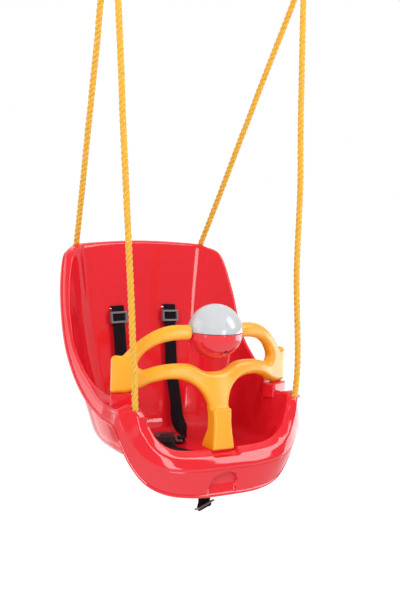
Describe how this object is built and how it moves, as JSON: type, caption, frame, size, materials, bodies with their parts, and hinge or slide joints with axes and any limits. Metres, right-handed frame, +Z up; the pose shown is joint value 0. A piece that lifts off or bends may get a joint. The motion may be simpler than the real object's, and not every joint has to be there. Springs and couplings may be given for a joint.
{
  "type": "toddler bucket swing",
  "caption": "Toddler bucket swing: moulded high-back seat with a lift-out T guard, a spinning play ball and a webbing harness, hung by four ropes from two steel rings.",
  "frame": {"origin": "midway between the two hanging rings, on the swing axis through the bottoms of their wires", "axes": "+Z up along the hang, +X to the viewer's right across the seat, +Y towards the seat's back; the child faces -Y"},
  "size_m": [0.458, 0.3926, 1.0364],
  "materials": {
    "shell_plastic": "glossy moulded polypropylene, signal red",
    "guard_plastic": "satin moulded polypropylene, warm yellow",
    "ball_white": "glossy white",
    "ball_red": "glossy red",
    "steel": "zinc plated",
    "ring_steel": "zinc plated, welded",
    "webbing": "woven polyester webbing",
    "rope_fibre": "three-strand polyethylene rope",
    "adjuster_plastic": "grey acetal",
    "buckle_plastic": "dark grey acetal"
  },
  "bodies": {
    "hanger": {"ring_left": "ring_steel", "ring_right": "ring_steel"},
    "guard": {"guard": "guard_plastic", "ball_axle": "steel"},
    "ball": {"ball_upper": "ball_white", "ball_lower": "ball_red", "ball_screws": "steel"},
    "adjuster_left": {"adjuster_left": "adjuster_plastic"},
    "adjuster_right": {"adjuster_right": "adjuster_plastic"},
    "button": {"buckle_button": "buckle_plastic"},
    "tongue_left": {"latch_tongue_left": "buckle_plastic", "strap_end_left": "webbing"},
    "tongue_right": {"latch_tongue_right": "buckle_plastic", "strap_end_right": "webbing"},
    "seat": {"seat_shell": "shell_plastic", "shoulder_strap_left": "webbing", "shoulder_strap_right": "webbing", "back_keeper_left": "adjuster_plastic", "back_keeper_right": "adjuster_plastic", "crotch_strap": "webbing", "crotch_keeper": "adjuster_plastic", "buckle_base": "buckle_plastic", "buckle_cover": "buckle_plastic", "button_spring": "steel", "rope_front_left": "rope_fibre", "rope_front_right": "rope_fibre", "rope_rear_left": "rope_fibre", "rope_rear_right": "rope_fibre", "stopper_front_left": "rope_fibre", "stopper_front_right": "rope_fibre", "stopper_rear_left": "rope_fibre", "stopper_rear_right": "rope_fibre", "eye_front_left": "rope_fibre", "eye_front_right": "rope_fibre", "eye_rear_left": "rope_fibre", "eye_rear_right": "rope_fibre"}
  },
  "joints": [
    {"name": "swing", "type": "hinge", "parent": "hanger", "child": "seat", "pos_m": [0, 0, 0], "axis": [1, 0, 0], "range_deg": [-40, 40]},
    {"name": "guard_lift", "type": "slide", "parent": "seat", "child": "guard", "axis": [0, 0.0767, 0.9971], "range_m": [0, 0.045]},
    {"name": "ball_spin", "type": "hinge", "parent": "guard", "child": "ball", "pos_m": [0, -0.09696, -0.64747], "axis": [1, 0, 0], "continuous": true},
    {"name": "adjuster_left_slide", "type": "slide", "parent": "seat", "child": "adjuster_left", "axis": [0.0276, -0.2498, -0.9679], "range_m": [0, 0.075]},
    {"name": "adjuster_right_slide", "type": "slide", "parent": "seat", "child": "adjuster_right", "axis": [-0.0276, -0.2498, -0.9679], "range_m": [0, 0.075]},
    {"name": "button_press", "type": "slide", "parent": "seat", "child": "button", "axis": [0, -0.0767, -0.9971], "range_m": [0, 0.002], "stiffness_N_per_m": 600, "springref_m": -0.002, "deforming": ["button_spring"]},
    {"name": "tongue_left_release", "type": "slide", "parent": "seat", "child": "tongue_left", "axis": [-0.9063, 0.4214, -0.0324], "range_m": [0, 0.012]},
    {"name": "tongue_right_release", "type": "slide", "parent": "seat", "child": "tongue_right", "axis": [0.9063, -0.4214, 0.0324], "range_m": [0, 0.012]}
  ]
}
